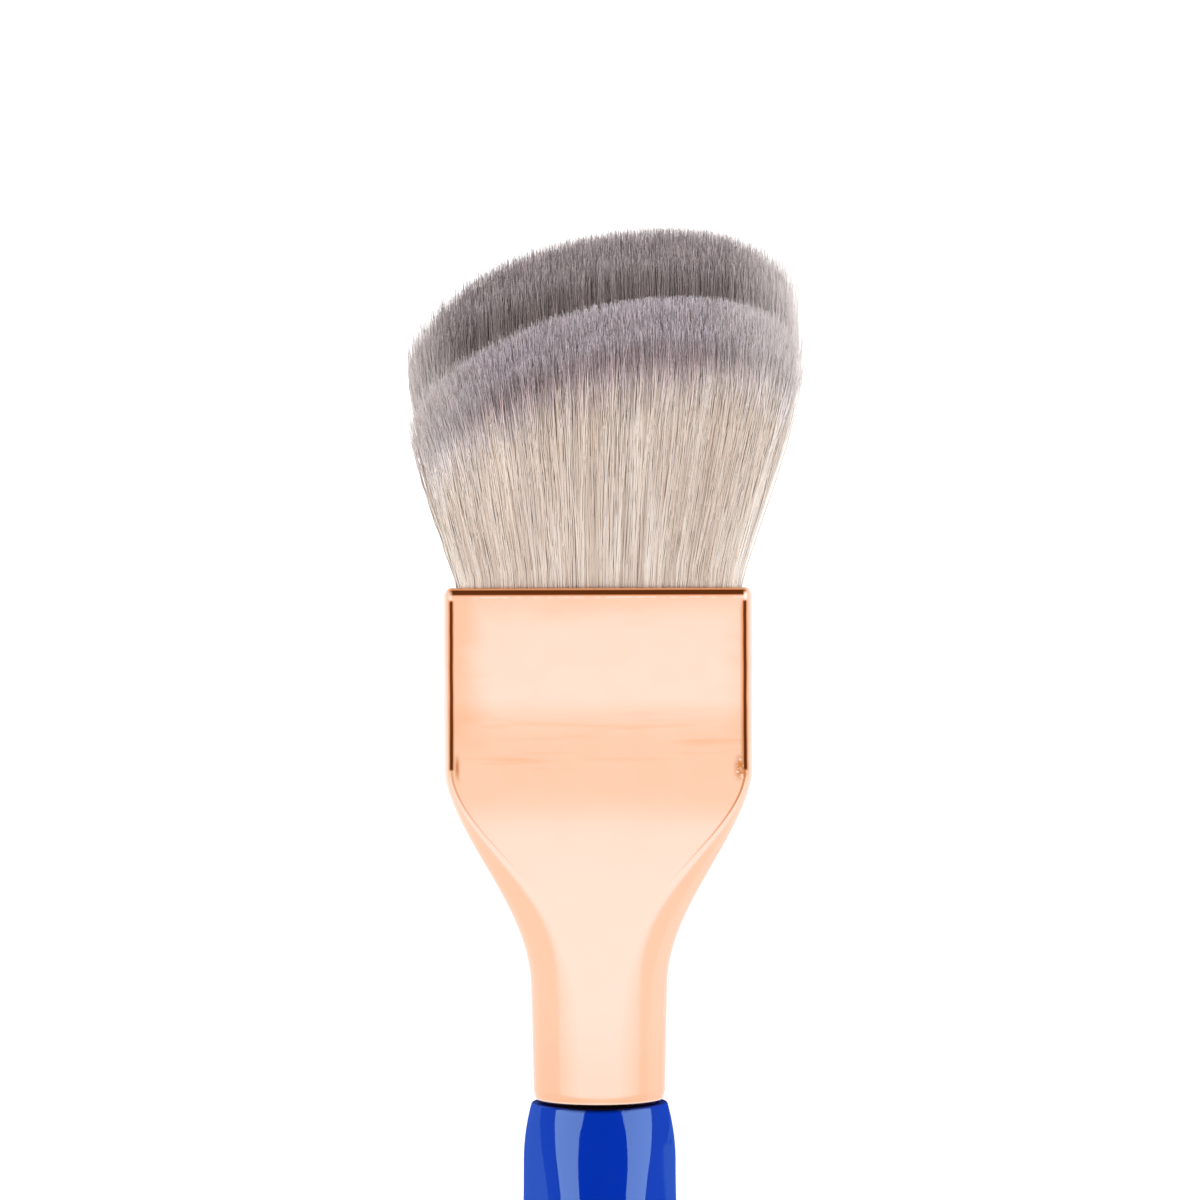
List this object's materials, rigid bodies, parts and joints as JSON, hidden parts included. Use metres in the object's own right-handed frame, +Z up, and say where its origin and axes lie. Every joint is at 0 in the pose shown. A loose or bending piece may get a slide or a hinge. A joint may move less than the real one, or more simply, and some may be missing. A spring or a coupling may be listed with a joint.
{
  "type": "blending brush",
  "caption": "Flat two-tier blending brush: slanted domed bristle knots in an oblong metal ferrule with a round neck, on a tapered handle of rounded triangular section.",
  "frame": {"origin": "on the surface that the brush lies on, under the middle of its length and the middle of its width", "axes": "+Y along the brush from the handle's tail to the bristle tips, +Z up out of the front face with the handle's ridge, +X to the right with the tips away and the front face up"},
  "size_m": [0.0302, 0.1901, 0.0128],
  "materials": {
    "handle_lacquer": "high-gloss blue lacquer over turned and shaped wood",
    "ferrule_metal": "mirror-polished rose-gold plating",
    "front_fibre": "fine synthetic filaments, cream with lilac-grey tips",
    "rear_fibre": "fine synthetic filaments, cream with grey-brown tips",
    "set_resin": "clear amber epoxy",
    "spacer_card": "plain moulded strip",
    "thread": "waxed cotton thread"
  },
  "bodies": {
    "root": {"handle": "handle_lacquer", "ferrule": "ferrule_metal", "front_tuft": "front_fibre", "rear_tuft": "rear_fibre", "glue_plug": "set_resin", "spacer_strip": "spacer_card", "front_root_tie": "thread", "rear_root_tie": "thread"}
  },
  "joints": []
}
